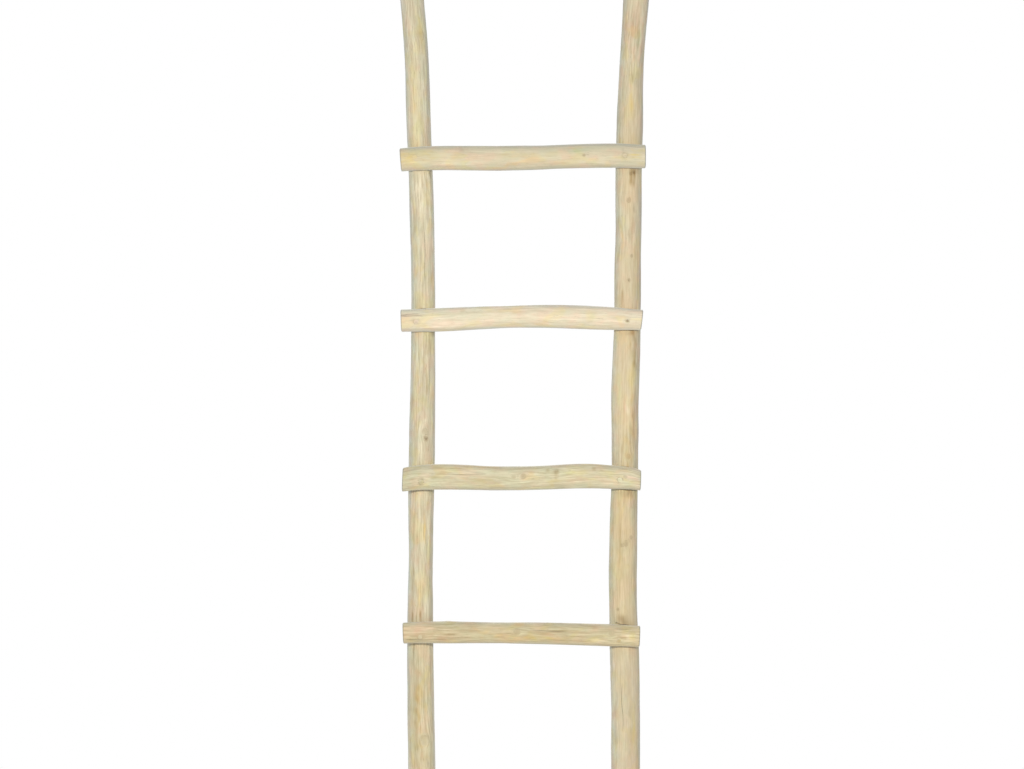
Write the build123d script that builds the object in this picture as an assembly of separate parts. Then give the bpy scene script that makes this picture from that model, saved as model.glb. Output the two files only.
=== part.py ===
from build123d import *
import math
import os

# Branch ladder for towels and clothes: two round poles, four round rungs.
# Millimetres, +Z up, -Y the front. The origin is on the floor, midway between the
# poles, in the plane where the flat backs of the rungs meet the seats cut in the poles.

# ---------------------------------------------------------------- driving dimensions
HEIGHT = 1800.0
POLE_SEAT_DEPTH = 9.0  # how deep a seat is cut into the front of a pole
RUNG_FLAT_DEPTH = 5.0  # how much is sawn off the back of a rung where it crosses a pole
SEAT_PLAY = 1.4  # room above and below a rung in its seat
POLE_SWAY = 3.0  # how far a pole bends to the front and back along its height
POLE_SWAY_LENGTH = 250.0  # height over which that bend turns by one radian
SEAT_MOUTH = POLE_SEAT_DEPTH + POLE_SWAY + 1.0  # how far in front of the seat its sides are cut
SEAT_STEPS = 4  # straight facets down each side of a seat
SAWN_EDGE = 1.5  # small bevel round every sawn end

SCREW_DIAMETER = 4.5
SCREW_LENGTH = 60.0
SCREW_HEAD_DIAMETER = 9.0
SCREW_HEAD_HEIGHT = 3.6
SCREW_HEAD_Y = -29.0  # top of every screw head, measured from the seats
SCREW_TIP_LENGTH = 5.0
DRIVE_RECESS_WIDTH = 4.6
DRIVE_RECESS_SLOT = 1.2
DRIVE_RECESS_DEPTH = 2.2
SHANK_DIAMETER = 3.4
SHANK_LENGTH = 24.0  # the smooth part, which lies inside the rung
CLEARANCE_DIAMETER = 5.0
PLUG_DIAMETER = 10.0

# Poles, from the foot to the top: height, centre x, width, depth.
LEFT_POLE = [
    (0, -201, 56, 54),
    (210, -204, 54, 53),
    (320, -205.5, 52.5, 52),
    (430, -206, 52, 51),
    (530, -205, 47, 49),
    (680, -204, 51, 50),
    (800, -202, 52, 51),
    (940, -200, 49, 50),
    (1120, -200, 48, 50),
    (1300, -204, 48, 49),
    (1440, -209.5, 49, 49),
    (1560, -213.5, 48, 48),
    (1665, -221.5, 48, 48),
    (HEIGHT, -232, 47, 46),
]
RIGHT_POLE = [
    (0, 204, 57, 54),
    (200, 206, 57, 54),
    (340, 204, 59, 54),
    (480, 200, 56, 53),
    (600, 201, 57, 53),
    (735, 204, 53, 52),
    (880, 204.5, 56, 52),
    (960, 207.5, 54.5, 52),
    (1030, 209, 54, 51),
    (1200, 210.5, 52, 50),
    (1420, 214, 53, 50),
    (1520, 216.5, 49.5, 49),
    (1665, 226, 50, 49),
    (HEIGHT, 236, 49, 47),
]
POLE_SECTION_SPACING = 90.0
RUNG_SECTION_SPACING = 45.0
POLE_SKEW = 0.03  # how far a pole's section leans towards one diagonal, as a share

# Rungs, from the lowest up, each from its left end to its right end:
# x, centre height, thickness.
RUNGS = [
    [
        (-240, 404.5, 42),
        (-175, 406, 44),
        (-60, 405, 42),
        (40, 404, 43.5),
        (150, 401, 44.5),
        (233.5, 398, 43),
    ],
    [
        (-241, 710.5, 48),
        (-180, 716.5, 51),
        (-60, 714, 48),
        (30, 714.5, 48),
        (110, 718, 50),
        (180, 716, 47),
        (235.5, 709.5, 40),
    ],
    [
        (-244, 1028.5, 44),
        (-150, 1031, 47),
        (-30, 1036.5, 44.5),
        (60, 1037, 46.5),
        (150, 1034, 46.5),
        (238, 1029.5, 41),
    ],
    [
        (-245, 1349.5, 46),
        (-180, 1353, 48.5),
        (-60, 1352.5, 50),
        (20, 1353.5, 48.5),
        (80, 1356, 48),
        (180, 1358, 49),
        (245, 1356, 47),
    ],
]
# How much further out the top of each sawn end stands than its underside, left then right.
RUNG_END_SLANTS = [(1.5, 1.5), (-2.0, 1.0), (1.5, 4.5), (3.5, 0.0)]
RUNG_SKEW = 0.025
RUNG_BOWS = [3.0, -3.5, 3.5, -2.5]  # how far the middle of each rung stands back

# Where the screws stand on each rung, left then right: x and height.
SCREWS = [
    [(-205, 397), (191, 392)],
    [(-203, 707), (193, 711)],
    [(-213, 1026), (208, 1028)],
    [(-216, 1354), (203, 1358)],
]

# The seat for the right end of the lowest rung was cut too high at its inner corner.
OVERCUT_RUNG = 0
OVERCUT_X = (184, 208)
OVERCUT_HEIGHT = 11.0


# ---------------------------------------------------------------- shapes
def branch_section(plane, width, depth, skew):
    """A closed, slightly skewed oval. It keeps its width and depth at the four quarter points."""
    points = []
    for eighth in range(8):
        angle = math.radians(45 * eighth)
        stretch = 1 + skew * math.sin(2 * angle)
        points.append((width / 2 * math.cos(angle) * stretch, depth / 2 * math.sin(angle) * stretch))
    return plane * make_face(Spline(*points, periodic=True))


def between(stations, place):
    """The values at a place along a row of stations, on smooth curves through them all."""
    index = max(1, sum(1 for station in stations[:-1] if station[0] <= place))
    low, high = stations[index - 1], stations[index]
    before = stations[max(index - 2, 0)]
    after = stations[min(index + 1, len(stations) - 1)]
    length = high[0] - low[0]
    share = (place - low[0]) / length
    values = []
    for column in range(1, len(low)):
        low_slope = (high[column] - before[column]) / (high[0] - before[0]) * length
        high_slope = (after[column] - low[column]) / (after[0] - low[0]) * length
        rise = high[column] - low[column]
        bend = low_slope + high_slope - 2 * rise
        values.append(low[column] + share * (low_slope + share * (rise - low_slope + (share - 1) * bend)))
    return values


def evenly(start, end, spacing):
    """Places from start to end, about the spacing apart."""
    count = round((end - start) / spacing)
    return [start + (end - start) * step / count for step in range(count + 1)]


def bevelled_loft(sections):
    """A solid through the sections, with a small bevel standing out past its two sawn ends.

    Each section is a function of how far it is shrunk and moved along the axis.
    """
    first, last = sections[0], sections[-1]
    middle = loft([section(0, 0) for section in sections])
    low_end = loft([first(SAWN_EDGE, -SAWN_EDGE), first(0, 0)], ruled=True)
    high_end = loft([last(0, 0), last(SAWN_EDGE, SAWN_EDGE)], ruled=True)
    return low_end + middle + high_end


def pole_section(centre_x, width, depth, height, sway, skew):
    """A pole's section, ready to be shrunk and moved. Its front stands in front of the seats."""

    def section(shrink, rise):
        plane = Plane((centre_x, depth / 2 - POLE_SEAT_DEPTH + sway, height + rise))
        return branch_section(plane, width - 2 * shrink, depth - 2 * shrink, skew)

    return section


def rung_section(centre_x, height, thickness, bow, skew, lean):
    """A rung's section, ready to be shrunk and moved. Its back reaches behind the seats."""

    def section(shrink, shift):
        centre = (centre_x + shift, RUNG_FLAT_DEPTH - thickness / 2 + bow, height)
        plane = Plane(origin=centre, x_dir=(0, 1, 0), z_dir=(1, 0, -lean))
        return branch_section(plane, thickness - 2 * shrink, thickness - 2 * shrink, skew)

    return section


def pole_blank(stations, sway_start):
    """A round pole with no seats."""
    sections = []
    for number, height in enumerate(evenly(SAWN_EDGE, HEIGHT - SAWN_EDGE, POLE_SECTION_SPACING)):
        centre_x, width, depth = between(stations, height)
        sway = POLE_SWAY * math.sin(height / POLE_SWAY_LENGTH + sway_start)
        skew = POLE_SKEW * math.sin(0.5 * number)
        sections.append(pole_section(centre_x, width, depth, height, sway, skew))
    return bevelled_loft(sections)


def rung_blank(stations, bow, slants):
    """A round rung with no flats. Only its two sawn ends slant."""
    left_end, right_end = stations[0][0] + SAWN_EDGE, stations[-1][0] - SAWN_EDGE
    places = evenly(left_end, right_end, RUNG_SECTION_SPACING)
    leans = [0.0] * len(places)
    leans[0] = -slants[0] / stations[0][2]
    leans[-1] = slants[1] / stations[-1][2]
    sections = []
    for number, (place, lean) in enumerate(zip(places, leans)):
        height, thickness = between(stations, place)
        share = (place - left_end) / (right_end - left_end)
        set_back = bow * math.sin(math.pi * share) ** 2
        skew = RUNG_SKEW * math.cos(0.6 * number)
        sections.append(rung_section(place, height, thickness, set_back, skew, lean))
    return bevelled_loft(sections)


def seat_cut(pole, rung):
    """The cut across the front of a pole that takes one rung, with sides that follow the rung."""
    centre_x, width, _ = between(pole, mean_height(rung))
    height, _ = between(rung, centre_x)
    left_height, left_thickness = between(rung, centre_x - width / 2)
    right_height, right_thickness = between(rung, centre_x + width / 2)
    slope = math.degrees(math.atan2(right_height - left_height, width))
    radius = max(left_thickness, right_thickness) / 2

    upper = []
    for step in range(SEAT_STEPS + 1):
        in_front = step * SEAT_MOUTH / SEAT_STEPS
        from_centre = radius - RUNG_FLAT_DEPTH - in_front
        upper.append((-in_front, math.sqrt(radius**2 - from_centre**2) + SEAT_PLAY))
    lower = [(y, -half_height) for y, half_height in reversed(upper)]
    side = Plane(origin=(0, 0, 0), x_dir=(0, 1, 0), z_dir=(1, 0, 0))
    cut = extrude(side * make_face(Polyline(*upper, *lower, close=True)), amount=width, both=True)
    return Pos(centre_x, 0, height) * Rot(0, -slope, 0) * cut


def mean_height(rung):
    """The height at which a rung crosses the poles, near enough to find their width there."""
    return sum(station[1] for station in rung) / len(rung)


def overcut(rung):
    """The three-sided chisel mark above the right seat of the lowest rung."""
    low_x, high_x = OVERCUT_X
    height, thickness = between(rung, low_x)
    top = height + thickness / 2 - 6
    corner = make_face(Polyline((low_x, top), (high_x, top), (low_x, top + OVERCUT_HEIGHT), close=True))
    front = Plane(origin=(0, -POLE_SEAT_DEPTH * 2, 0), x_dir=(1, 0, 0), z_dir=(0, -1, 0))
    return extrude(front * corner, amount=-(POLE_SEAT_DEPTH * 2 - 3))


def flat_cut(rung, pole_stations, side):
    """Half the rung's back, sawn off from its end to just past the pole."""
    level = mean_height(rung)
    centre_x, width, _ = between(pole_stations, level)
    inner = centre_x - side * (width / 2 + 3)
    end = rung[0][0] if side < 0 else rung[-1][0]
    length = abs(end - inner) + 5
    middle = (inner + side * length / 2, RUNG_FLAT_DEPTH, level)
    return Pos(*middle) * Box(length, 2 * RUNG_FLAT_DEPTH, 90)


def along_y(start_y, length, diameter):
    """A cylinder from start_y towards +Y."""
    return Plane(origin=(0, start_y, 0), z_dir=(0, 1, 0)) * Cylinder(
        diameter / 2, length, align=(Align.CENTER, Align.CENTER, Align.MIN)
    )


def cone_along_y(start_y, length, start_diameter, end_diameter):
    """A cone from start_y towards +Y."""
    return Plane(origin=(0, start_y, 0), z_dir=(0, 1, 0)) * Cone(
        start_diameter / 2, end_diameter / 2, length, align=(Align.CENTER, Align.CENTER, Align.MIN)
    )


def screw():
    """A countersunk wood screw along +Y, with its head up at SCREW_HEAD_Y."""
    shank_y = SCREW_HEAD_Y + SCREW_HEAD_HEIGHT
    thread_y = shank_y + SHANK_LENGTH
    tip_y = SCREW_HEAD_Y + SCREW_LENGTH - SCREW_TIP_LENGTH
    body = cone_along_y(SCREW_HEAD_Y, SCREW_HEAD_HEIGHT, SCREW_HEAD_DIAMETER, SHANK_DIAMETER)
    body += along_y(shank_y, SHANK_LENGTH, SHANK_DIAMETER)
    body += along_y(thread_y, tip_y - thread_y, SCREW_DIAMETER)
    body += cone_along_y(tip_y, SCREW_TIP_LENGTH, SCREW_DIAMETER, 0.6)
    recess_y = SCREW_HEAD_Y + DRIVE_RECESS_DEPTH / 2
    across = Box(DRIVE_RECESS_WIDTH, DRIVE_RECESS_DEPTH, DRIVE_RECESS_SLOT)
    upright = Box(DRIVE_RECESS_SLOT, DRIVE_RECESS_DEPTH, DRIVE_RECESS_WIDTH)
    return body - Pos(0, recess_y, 0) * (across + upright)


def screw_hole():
    """What is drilled out of a rung for a screw and its plug."""
    shank_y = SCREW_HEAD_Y + SCREW_HEAD_HEIGHT
    hole = plug_bore()
    hole += cone_along_y(SCREW_HEAD_Y, SCREW_HEAD_HEIGHT, SCREW_HEAD_DIAMETER, SHANK_DIAMETER)
    hole += along_y(shank_y - 1.0, 40.0, CLEARANCE_DIAMETER)
    return hole


def plug_bore():
    """The wide bore in front of a screw head, long enough to pass the front of any rung."""
    length = 30.0
    return along_y(SCREW_HEAD_Y - length, length, PLUG_DIAMETER)


def pilot_hole():
    """What a screw fills in a pole."""
    tip_y = SCREW_HEAD_Y + SCREW_LENGTH - SCREW_TIP_LENGTH
    thread_y = SCREW_HEAD_Y + SCREW_HEAD_HEIGHT + SHANK_LENGTH
    hole = along_y(thread_y, tip_y - thread_y, SCREW_DIAMETER)
    return hole + cone_along_y(tip_y, SCREW_TIP_LENGTH, SCREW_DIAMETER, 0.6)


# ---------------------------------------------------------------- assembly
def build():
    nodes = {}
    poles = {"left": pole_blank(LEFT_POLE, 0.6), "right": pole_blank(RIGHT_POLE, 2.4)}
    stations = {"left": LEFT_POLE, "right": RIGHT_POLE}
    sides = {"left": -1, "right": 1}
    for index, rung_stations in enumerate(RUNGS):
        name = f"rung_{index + 1}"
        blank = rung_blank(rung_stations, RUNG_BOWS[index], RUNG_END_SLANTS[index])
        rung = blank
        for side, screw_place in zip(sides, SCREWS[index]):
            rung -= flat_cut(rung_stations, stations[side], sides[side])
            poles[side] -= seat_cut(stations[side], rung_stations)
            at_screw = Pos(screw_place[0], 0, screw_place[1])
            rung -= at_screw * screw_hole()
            poles[side] -= at_screw * pilot_hole()
            nodes[f"screw_{index + 1}_{side}"] = at_screw * screw()
            nodes[f"plug_{index + 1}_{side}"] = blank & (at_screw * plug_bore())
        nodes[name] = rung
    poles["right"] -= overcut(RUNGS[OVERCUT_RUNG])
    nodes["left_pole"] = poles["left"]
    nodes["right_pole"] = poles["right"]
    return nodes


os.makedirs("parts", exist_ok=True)
for node_name, shape in build().items():
    export_step(shape, f"parts/{node_name}.step")
    box = shape.bounding_box()
    print(node_name, round(shape.volume), [round(value, 1) for value in (*box.min, *box.max)])
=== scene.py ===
import math

import bpy
import numpy as np
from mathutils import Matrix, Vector, noise
from mathutils.bvhtree import BVHTree


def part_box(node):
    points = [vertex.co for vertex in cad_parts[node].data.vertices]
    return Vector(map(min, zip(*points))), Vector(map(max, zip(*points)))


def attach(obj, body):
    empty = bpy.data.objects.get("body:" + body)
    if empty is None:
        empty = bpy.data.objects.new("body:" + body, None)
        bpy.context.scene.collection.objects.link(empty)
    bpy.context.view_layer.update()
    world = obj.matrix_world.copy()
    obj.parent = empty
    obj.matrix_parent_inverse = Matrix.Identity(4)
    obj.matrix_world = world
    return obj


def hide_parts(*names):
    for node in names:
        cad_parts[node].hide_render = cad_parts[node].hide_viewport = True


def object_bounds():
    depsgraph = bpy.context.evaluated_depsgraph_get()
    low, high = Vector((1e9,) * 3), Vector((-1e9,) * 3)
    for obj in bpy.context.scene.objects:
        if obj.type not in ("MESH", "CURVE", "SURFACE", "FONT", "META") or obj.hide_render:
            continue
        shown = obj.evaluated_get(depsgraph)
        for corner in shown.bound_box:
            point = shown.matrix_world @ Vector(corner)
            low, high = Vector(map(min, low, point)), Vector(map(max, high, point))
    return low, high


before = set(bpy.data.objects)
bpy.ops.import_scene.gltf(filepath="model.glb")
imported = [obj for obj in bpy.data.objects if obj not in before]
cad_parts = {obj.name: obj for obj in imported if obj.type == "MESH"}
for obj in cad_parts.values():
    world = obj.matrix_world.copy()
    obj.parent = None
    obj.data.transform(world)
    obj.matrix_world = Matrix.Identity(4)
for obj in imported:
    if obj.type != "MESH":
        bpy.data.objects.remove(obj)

# A ladder rack of peeled branches. Metres, +Z up, -Y the front.
# Each pole and rung is a fine skin laid over its CAD solid, with the facets, swellings,
# knots and checks of a peeled branch raised or cut in it, and end grain on its sawn ends.

CAD_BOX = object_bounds()
MM = 0.001

# ---------------------------------------------------------------- the branches
# An angle round a branch is 90 at the front. On a pole 0 is the right side and 180 the
# left; on a rung 0 is the top and 180 the underside. Places along a pole are heights, and
# along a rung they are x.
# streaks: how strongly the grain shows. pink: how strongly its pink patches show.
# facets: how flat the strokes of the knife are.
# shades: how light the wood is at places along the branch.
# stains and painted shading: start, end, angle, half width in mm, colour, strength. Besides
# real stains they hold painted rim light down the sides of the branches, painted shade along
# the top and underside of rungs 3 and 4, and painted shadows on the poles just under or over
# the rungs. A stain fades towards its two ends, so one of even strength from end to end has
# its own ends far beyond the branch.
# knots: place, angle, radius in mm, swelling in mm, darkness.
# checks, the long drying cracks: start, end, angle, width in mm, depth in mm.
STAIN_AND_PAINTED_SHADING_COLOURS = {
    "brown": (0.74, 0.66, 0.54),
    "dark": (0.70, 0.69, 0.68),
    "pale": (1.16, 1.18, 1.22),
    "yellow": (1.03, 0.98, 0.70),
    "orange": (1.04, 0.90, 0.66),
    "pink": (1.06, 0.95, 0.98),
    "green": (0.88, 0.96, 0.90),
    "grey": (0.94, 0.97, 1.05),
    # painted rim light: lighter and bluer, laid down the sides of the poles and rungs
    "painted_rim_light": (1.04, 1.14, 1.27),
    # slate: greyer; along the top and underside of rungs 3 and 4 it is painted shade
    "slate": (0.88, 0.94, 0.99),
}
WHOLE_POLE = (-0.9, 2.7)
WHOLE_RUNG = (-0.9, 0.9)
BRANCHES = {
    "left_pole": {
        "seed": 11,
        "tint": (0.605, 0.525, 0.35),
        "streaks": 1.4,
        "pink": 0.35,
        "facets": 0.45,
        "shades": [(0, 0.9), (0.35, 0.92), (0.55, 1), (1.3, 1), (1.5, 0.98), (1.8, 0.96)],
        "stains_and_painted_shading": [
            # Painted rim light down the left and right sides of the pole.
            (*WHOLE_POLE, 168, 13, "painted_rim_light", 1),
            (*WHOLE_POLE, 12, 12, "painted_rim_light", 0.5),
            (-0.2, 0.7, 108, 10, "dark", 0.16),
            (-0.1, 0.69, 62, 8, "pale", 0.22),
            (1.685, 1.84, 66, 3.5, "pale", 0.4),
            (1.185, 1.31, 45, 9, "pale", 0.35),
            (1.575, 1.635, 60, 5, "yellow", 0.5),
            (1.49, 1.512, 62, 2.5, "pale", 0.9),
            (1.42, 1.56, 112, 11, "yellow", 0.5),
            (1.25, 1.335, 80, 20, "pale", 0.75),
            (1.19, 1.275, 128, 3, "brown", 0.5),
            (1.17, 1.196, 35, 3, "pale", 0.9),
            (0.96, 0.992, 68, 4, "brown", 0.6),
            (0.88, 0.922, 72, 2.2, "brown", 0.6),
            (0.83, 0.96, 82, 6, "dark", 0.22),
            (0.94, 0.966, 118, 2, "pale", 0.9),
            (0.82, 0.833, 73, 3, "pale", 1.2),
            (0.745, 0.815, 92, 9, "pale", 0.5),
            (0.44, 0.69, 128, 2.5, "brown", 0.4),
            (0.582, 0.64, 71, 2.5, "orange", 0.8),
            (0.45, 0.5, 92, 4, "orange", 0.6),
            (0.44, 0.49, 58, 9, "pale", 0.6),
            (0.422, 0.446, 126, 2, "brown", 0.95),
            (0.426, 0.45, 88, 1.8, "brown", 1.1),
            (0.424, 0.44, 108, 2, "brown", 0.6),
            # Painted shadows on the pole just under rungs 4, 3 and 2, towards its right side.
            (1.314, 1.334, 36, 5, "dark", 0.9),
            (0.997, 1.01, 36, 7, "dark", 1.1),
            (0.68, 0.693, 44, 8, "dark", 0.6),
            (-0.05, 0.4, 90, 40, "yellow", 0.25),
            (0.14, 0.345, 106, 6.5, "brown", 0.42),
            (0.205, 0.3, 99, 5, "orange", 0.5),
            (0.235, 0.305, 75, 2, "dark", 0.5),
        ],
        "knots": [
            (0.793, 72, 3.6, 1, 0.95),
            (0.807, 77, 4.5, 0.6, 0.35),
            (0.19, 72, 8, 0.8, 0.3),
            (1.6, 61, 7, 0.6, 0.18),
            (1.24, 235, 10, 2, 0.7),
            (0.3, 280, 12, 2.2, 0.75),
            (0.06, 105, 7, 1, 0.45),
            (1.06, 268, 9, 1.6, 0.6),
            (0.56, 320, 8, 1.5, 0.55),
            (1.47, 292, 8, 1.4, 0.65),
        ],
        "checks": [
            (0.855, 0.96, 60, 0.6, 0.4),
            (0, 0.11, 150, 1.3, 1.2),
            (1.66, 1.8, 240, 1.4, 1.4),
            (0.42, 0.64, 255, 1, 0.9),
            (1.09, 1.23, 82, 0.6, 0.4),
            (0.33, 0.42, 118, 0.6, 0.4),
        ],
    },
    "right_pole": {
        "seed": 29,
        "tint": (0.57, 0.48, 0.31),
        "streaks": 1.45,
        "pink": 0.6,
        "facets": 0.5,
        "shades": [(0, 0.95), (0.35, 0.96), (0.8, 1), (1.2, 1), (1.45, 0.99), (1.8, 0.97)],
        "stains_and_painted_shading": [
            # Painted rim light down the left side of the pole.
            (*WHOLE_POLE, 168, 13, "painted_rim_light", 0.9),
            (1.69, 1.84, 106, 6, "dark", 0.22),
            (1.69, 1.84, 134, 6, "pale", 0.35),
            (1.56, 1.69, 50, 6, "pale", 0.3),
            (1.19, 1.32, 80, 10, "orange", 0.16),
            (1.19, 1.32, 138, 9, "pale", 0.3),
            # Painted shade down the right rim of the pole near its foot.
            (-0.05, 0.23, 20, 12, "dark", 0.35),
            (1.59, 1.66, 92, 14, "pink", 0.9),
            (1.59, 1.66, 98, 12, "brown", 0.28),
            (1.6, 1.645, 70, 3, "brown", 0.5),
            (1.525, 1.572, 76, 8, "pale", 0.7),
            (1.575, 1.61, 60, 4, "green", 0.9),
            (1.504, 1.521, 82, 3, "brown", 0.5),
            (1.3, 1.336, 80, 4, "brown", 0.8),
            # Painted shadows on the pole just under rungs 4 and 3.
            (1.323, 1.336, 66, 13, "dark", 0.5),
            (0.999, 1.012, 70, 13, "brown", 0.75),
            (1.298, 1.332, 64, 3, "brown", 0.9),
            (1.435, 1.495, 86, 5, "yellow", 0.6),
            (1.244, 1.264, 62, 3, "dark", 0.6),
            (1.055, 1.09, 118, 2.5, "brown", 0.8),
            (0.925, 1.012, 52, 5.5, "brown", 0.85),
            (0.97, 1.01, 74, 3, "brown", 0.5),
            (0.735, 0.81, 82, 11, "orange", 0.55),
            (0.785, 0.875, 57, 4, "brown", 0.5),
            (0.81, 0.88, 79, 5, "pale", 0.85),
            (0.85, 0.95, 60, 7, "yellow", 0.5),
            (0.862, 0.918, 122, 5, "green", 0.9),
            (0.862, 0.918, 120, 3, "pale", 0.5),
            (0.848, 0.878, 90, 3.5, "pink", 1),
            (0.54, 0.625, 106, 1.5, "brown", 0.55),
            (0.42, 0.7, 90, 40, "yellow", 0.3),
            (0.44, 0.72, 100, 30, "slate", 0.25),
            (0.48, 0.62, 102, 9, "dark", 0.25),
            (0.555, 0.567, 86, 3, "pale", 1),
            (0.47, 0.516, 95, 2.5, "pale", 0.7),
            # Painted shade in the wedge just over the right end of rung 1.
            (0.418, 0.442, 92, 12, "brown", 0.45),
            (0.418, 0.438, 88, 12, "dark", 0.5),
            # Painted shadow on the pole just under rung 2.
            (0.676, 0.694, 66, 12, "dark", 0.8),
            (0.328, 0.362, 104, 1.8, "pale", 0.9),
            (-0.05, 0.39, 90, 40, "grey", 0.8),
            (0.12, 0.38, 102, 9, "green", 0.3),
            (0.16, 0.29, 68, 4, "brown", 0.35),
            (0.165, 0.256, 50, 4.5, "yellow", 0.7),
        ],
        "knots": [
            (0.583, 78, 4.5, 1, 0.45),
            (0.594, 54, 3.5, 0.8, 0.45),
            (0.581, 98, 3, 0.6, 0.45),
            (0.452, 115, 2.5, 0.3, 0.6),
            (0.757, 74, 4, 0.6, 0.3),
            (1.324, 67, 3, 0.5, 0.7),
            (1.322, 83, 2.5, 0.3, 0.5),
            (1.27, 90, 4, 0.4, 0.5),
            (1.158, 72, 2.5, 0.3, 0.5),
            (1.109, 85, 3, 0.3, 0.75),
            (0.98, 250, 11, 2.2, 0.7),
            (0.18, 225, 12, 2.4, 0.65),
            (1.52, 300, 9, 1.6, 0.6),
            (0.72, 320, 9, 1.6, 0.55),
        ],
        "checks": [
            (0.2, 0.312, 106, 0.7, 0.5),
            (0, 0.09, 330, 1.4, 1.3),
            (1.69, 1.8, 60, 1.2, 1),
            (1.13, 1.33, 275, 1, 0.9),
            (0.806, 0.852, 113, 0.5, 0.3),
        ],
    },
    "rung_1": {
        "seed": 47,
        "tint": (0.565, 0.47, 0.285),
        "streaks": 1.6,
        "pink": 0.45,
        "facets": 0.3,
        "shades": [
            (-0.25, 1.03), (-0.17, 0.97), (0.1, 0.98), (0.18, 1), (0.21, 1.08), (0.24, 1.04)
        ],
        "stains_and_painted_shading": [
            # Painted rim light along the top and underside of the rung.
            (*WHOLE_RUNG, 14, 8, "painted_rim_light", 0.55),
            (*WHOLE_RUNG, 168, 7, "painted_rim_light", 0.45),
            (-0.226, -0.192, 80, 7, "pink", 0.9),
            (-0.192, -0.176, 64, 1.5, "pale", 1.2),
            (-0.2, -0.13, 94, 4, "brown", 0.45),
            (-0.085, -0.015, 90, 2.5, "brown", 0.6),
            (0, 0.06, 90, 3, "brown", 0.5),
            (0.04, 0.115, 70, 2.2, "brown", 0.55),
            (-0.05, 0.09, 116, 5, "yellow", 0.55),
            (-0.2, -0.13, 128, 2, "brown", 0.4),
            (0.14, 0.182, 116, 6, "pale", 0.6),
            (0.188, 0.206, 100, 4, "brown", 0.5),
            (0.195, 0.222, 84, 4, "pale", 0.7),
            (0.212, 0.224, 88, 9, "yellow", 0.6),
        ],
        "knots": [
            (-0.012, 82, 5, 0.8, 0.35),
            (0.176, 78, 4, 0.5, 0.25),
            (0.062, 250, 8, 1.6, 0.6),
            (-0.15, 330, 7, 1.4, 0.6),
        ],
        "checks": [
            (0.175, 0.234, 54, 0.6, 0.4),
            (-0.24, -0.195, 128, 0.6, 0.4),
            (0.01, 0.09, 74, 0.6, 0.4),
        ],
    },
    "rung_2": {
        "seed": 61,
        "tint": (0.61, 0.54, 0.35),
        "streaks": 1.45,
        "pink": 0.4,
        "facets": 0.3,
        "shades": [(-0.25, 0.95), (-0.18, 0.98), (0, 1), (0.24, 1.02)],
        "stains_and_painted_shading": [
            (-0.246, -0.212, 90, 24, "dark", 0.2),
            (0.229, 0.246, 90, 24, "slate", 0.7),
            (-0.225, -0.14, 92, 6, "dark", 0.35),
            (-0.243, -0.2, 90, 16, "green", 0.35),
            (-0.2, -0.184, 96, 3.5, "pale", 0.9),
            (-0.17, -0.1, 66, 4, "pale", 0.55),
            (-0.105, -0.075, 66, 3.5, "dark", 0.5),
            (-0.15, -0.02, 100, 1.8, "dark", 0.35),
            (-0.06, 0.03, 116, 5, "pale", 0.6),
            (0.03, 0.07, 70, 5, "brown", 0.35),
            (0.063, 0.072, 70, 8, "brown", 0.55),
            (0.046, 0.053, 55, 5, "brown", 0.5),
            (0.08, 0.13, 72, 5, "yellow", 0.6),
            (0.075, 0.115, 118, 5, "pale", 0.9),
            (0.137, 0.145, 52, 5, "brown", 0.55),
            (0.15, 0.19, 70, 6, "yellow", 0.5),
            (0.205, 0.238, 88, 6, "pink", 1),
        ],
        "knots": [
            (-0.018, 82, 3.5, 0.8, 0.45),
            (0, 80, 4.5, 1, 0.45),
            (0.065, 62, 3.5, 0.9, 0.5),
            (0.204, 82, 3, 0.3, 0.5),
            (-0.105, 280, 9, 1.8, 0.6),
        ],
        "checks": [
            (-0.15, -0.07, 74, 0.5, 0.3),
            (0.18, 0.236, 250, 1, 0.9),
        ],
    },
    "rung_3": {
        "seed": 83,
        "tint": (0.74, 0.64, 0.45),
        "streaks": 0.7,
        "pink": 0.35,
        "facets": 0.3,
        "shades": [(-0.25, 0.96), (-0.12, 0.99), (0, 1), (0.24, 0.99)],
        "stains_and_painted_shading": [
            # Painted shade along the top and underside of the rung.
            (*WHOLE_RUNG, 12, 7, "slate", 0.8),
            (*WHOLE_RUNG, 168, 7, "slate", 0.8),
            (-0.225, -0.2, 92, 4.5, "dark", 0.45),
            (-0.185, -0.075, 118, 7, "pale", 0.75),
            (-0.18, -0.12, 64, 4, "green", 0.4),
            (-0.126, -0.115, 48, 3.5, "brown", 0.55),
            (-0.08, 0.075, 62, 5, "dark", 0.3),
            (-0.03, 0.02, 90, 3.5, "pale", 0.45),
            (0.075, 0.1, 90, 4, "pink", 0.8),
            (0.112, 0.14, 106, 4.5, "dark", 0.3),
            (0.165, 0.195, 88, 4.5, "green", 0.6),
        ],
        "knots": [
            (-0.08, 262, 8, 1.5, 0.5),
            (0.118, 320, 7, 1.2, 0.5),
        ],
        "checks": [
            (-0.25, -0.204, 57, 0.8, 0.5),
            (-0.25, -0.198, 69, 0.7, 0.4),
            (0.09, 0.17, 96, 0.4, 0.2),
        ],
    },
    "rung_4": {
        "seed": 97,
        "tint": (0.63, 0.545, 0.365),
        "streaks": 0.3,
        "pink": 0.55,
        "facets": 0.25,
        "shades": [(-0.25, 0.98), (-0.17, 1), (0, 1), (0.24, 0.98)],
        "stains_and_painted_shading": [
            # Painted shade along the top and underside of the rung.
            (*WHOLE_RUNG, 12, 7, "slate", 0.8),
            (*WHOLE_RUNG, 168, 6, "slate", 0.4),
            (-0.252, -0.16, 84, 12, "orange", 0.42),
            (-0.246, -0.215, 88, 14, "yellow", 0.5),
            (-0.232, -0.19, 112, 6, "pale", 0.45),
            (-0.165, -0.08, 118, 7, "pale", 0.6),
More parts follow.
